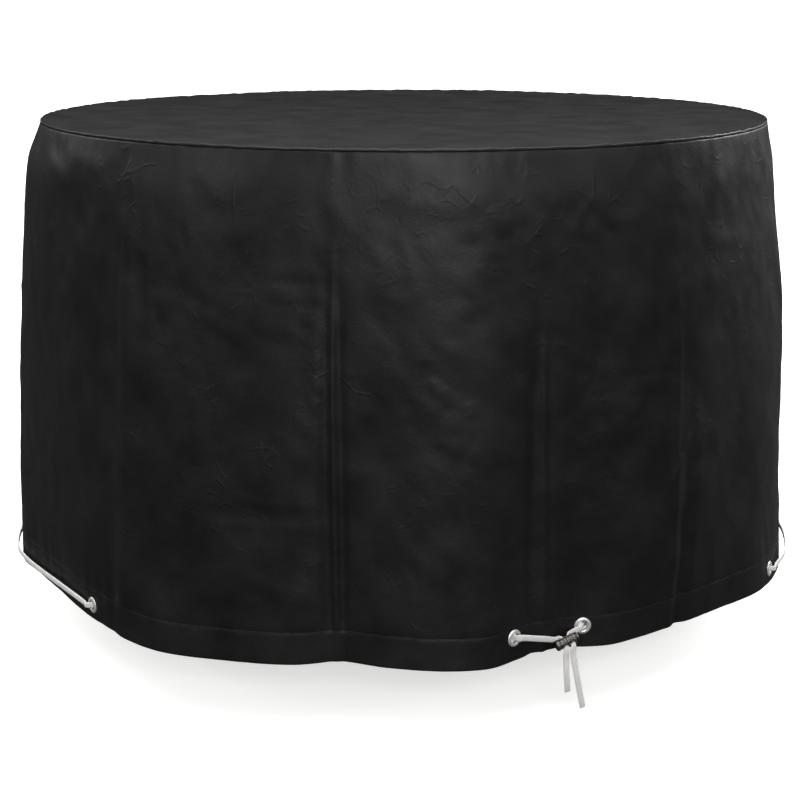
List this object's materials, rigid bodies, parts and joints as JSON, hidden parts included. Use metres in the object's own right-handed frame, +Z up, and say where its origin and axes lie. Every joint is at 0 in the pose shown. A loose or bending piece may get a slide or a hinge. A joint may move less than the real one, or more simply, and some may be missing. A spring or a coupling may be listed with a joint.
{
  "type": "patio furniture cover",
  "caption": "Round cover for a patio table: a flat top panel sewn to a hanging wall with soft folds and a deep hem, with metal eyelets, a drawcord threaded through them and a cord lock.",
  "frame": {"origin": "middle of the top panel's underside, where the table top carries the cover", "axes": "+Z up, -Y towards the front where the cord lock hangs, +X to the right seen from the front"},
  "size_m": [1.2476, 1.224, 0.7841],
  "materials": {
    "tarpaulin": "woven and laminated tarpaulin with a slight sheen",
    "eyelet_metal": "bright pressed metal",
    "braid": "flat white braid",
    "lock_body": "dark ribbed barrel with a metallic sheen"
  },
  "bodies": {
    "root": {"top_panel": "tarpaulin", "side_wall": "tarpaulin", "eyelet_1": "eyelet_metal", "eyelet_2": "eyelet_metal", "eyelet_3": "eyelet_metal", "eyelet_4": "eyelet_metal", "eyelet_5": "eyelet_metal", "eyelet_6": "eyelet_metal", "eyelet_7": "eyelet_metal", "eyelet_8": "eyelet_metal", "drawcord": "braid", "cord_lock": "lock_body"}
  },
  "joints": []
}
